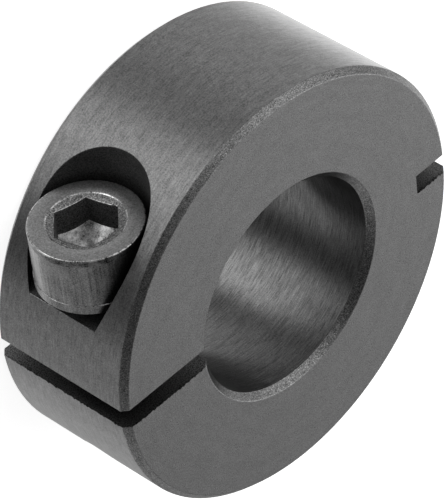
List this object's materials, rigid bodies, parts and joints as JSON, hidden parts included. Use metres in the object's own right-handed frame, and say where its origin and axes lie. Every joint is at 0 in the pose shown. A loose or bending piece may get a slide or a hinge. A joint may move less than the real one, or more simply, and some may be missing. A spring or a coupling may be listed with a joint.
{
  "type": "clamping ring",
  "caption": "One-piece slit shaft collar that a recessed socket head cap screw draws tight on a 20 mm shaft.",
  "frame": {"origin": "on the bore axis, in the plane of the back face", "axes": "+Z along the bore from the back face to the front face, +X out through the slit, the clamp screw parallel to Y with its head towards -Y"},
  "size_m": [0.04, 0.04, 0.015],
  "materials": {
    "blackened_ring_steel": "black oxide over turned faces, satin",
    "blackened_screw_steel": "black oxide over a cold-formed head, semi-gloss"
  },
  "bodies": {
    "ring": {"clamping_ring": "blackened_ring_steel"},
    "screw": {"clamp_screw": "blackened_screw_steel"}
  },
  "joints": [
    {"name": "screw_turn", "type": "hinge", "parent": "ring", "child": "screw", "pos_m": [0.01465, 0, 0.0075], "axis": [0, -1, 0], "range_deg": [-450, 2420]}
  ]
}
